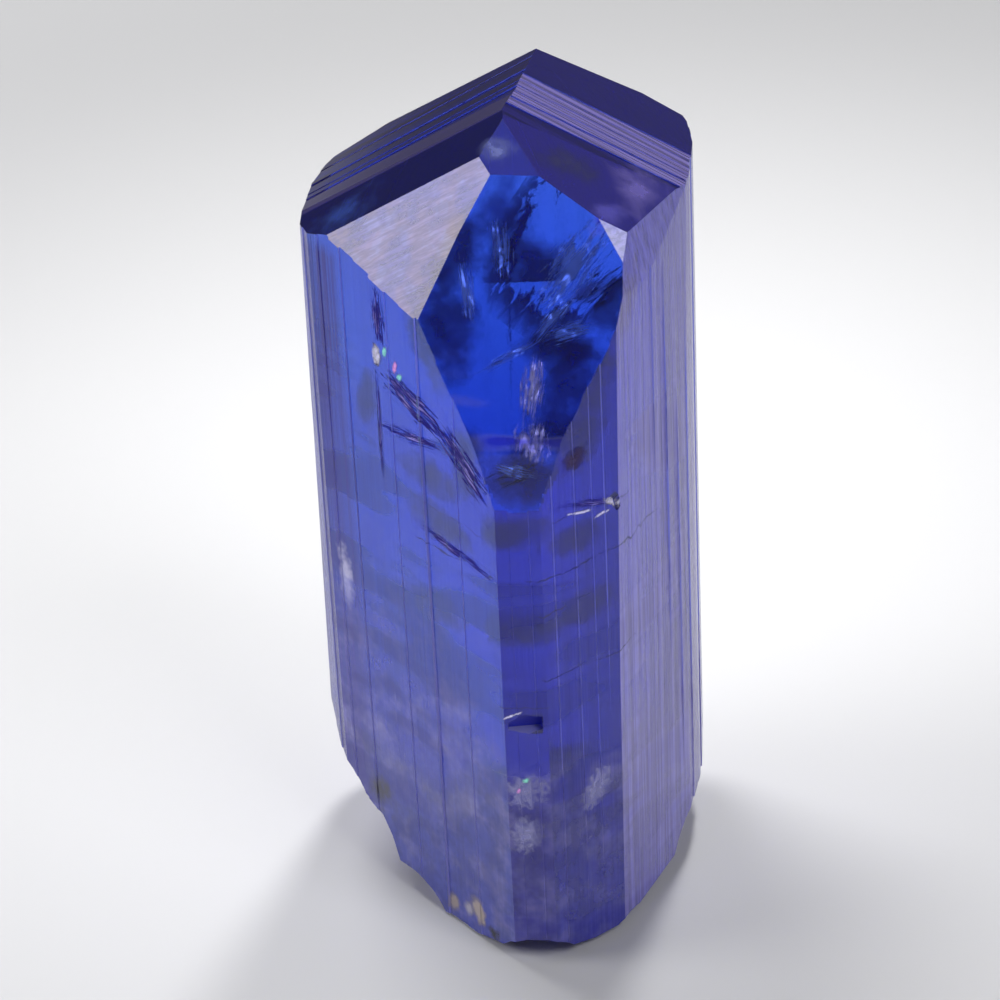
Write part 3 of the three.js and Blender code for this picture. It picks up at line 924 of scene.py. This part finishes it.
def make_room():
    """A pale room, palest low down and to the front."""
    room = bpy.data.worlds.new("pale_room")
    bpy.context.scene.world = room
    room.use_nodes = True
    nodes, links = room.node_tree.nodes, room.node_tree.links
    way = nodes.new("ShaderNodeSeparateXYZ")
    links.new(nodes.new("ShaderNodeTexCoord").outputs["Generated"], way.inputs[0])
    lean = nodes.new("ShaderNodeMath")
    lean.operation = "MULTIPLY_ADD"
    lean.inputs[1].default_value = ROOM_LEAN
    links.new(way.outputs["Y"], lean.inputs[0])
    links.new(way.outputs["Z"], lean.inputs[2])
    rise = nodes.new("ShaderNodeMapRange")
    rise.interpolation_type = "SMOOTHSTEP"
    links.new(lean.outputs[0], rise.inputs["Value"])
    names = ("From Min", "From Max", "To Min", "To Max")
    for name, value in zip(names, ROOM_RISE + ROOM_STRENGTH):
        rise.inputs[name].default_value = value
    links.new(rise.outputs["Result"], nodes["Background"].inputs["Strength"])
    nodes["Background"].inputs["Color"].default_value = ROOM_COLOUR


def make_lamps():
    for name, towards, distance, size, power in LAMPS:
        lamp = bpy.data.lights.new(name, "AREA")
        lamp.shape = "DISK"
        lamp.size = size
        lamp.energy = power
        hang(name, lamp, LAMP_AIM, towards, distance)
    glow = bpy.data.lights.new("glow", "SPOT")
    glow.energy = GLOW_POWER
    glow.spot_size = math.radians(GLOW_CONE)
    glow.spot_blend = 1.0
    glow.shadow_soft_size = GLOW_SIZE
    hang("glow", glow, GLOW_AIM, GLOW_WAY, GLOW_DISTANCE)


def make_camera():
    data = bpy.data.cameras.new("camera")
    data.lens = CAMERA_LENS
    data.sensor_width = CAMERA_SENSOR
    data.clip_start = CAMERA_NEAREST * MM
    camera = bpy.data.objects.new("camera", data)
    bpy.context.scene.collection.objects.link(camera)
    turned = Matrix.Rotation(math.radians(CAMERA_TURN), 4, "Z")
    tilted = Matrix.Rotation(math.radians(90.0 - CAMERA_DOWN), 4, "X")
    rolled = Matrix.Rotation(math.radians(-CAMERA_ROLL), 4, "Z")
    placed = Matrix.Translation(Vector(CAMERA_PLACE) * MM)
    camera.matrix_world = placed @ turned @ tilted @ rolled
    bpy.context.scene.camera = camera


make_camera()
make_veils(make_crystal())
make_table()
make_room()
make_lamps()

bpy.context.scene.view_settings.view_transform = "Standard"

# Light passes through many thin sheets, which count as see-through steps, not as bounces
cycles = bpy.context.scene.cycles
cycles.max_bounces = 4
cycles.transmission_bounces = 4
cycles.glossy_bounces = 4
cycles.diffuse_bounces = 3
cycles.transparent_max_bounces = 20
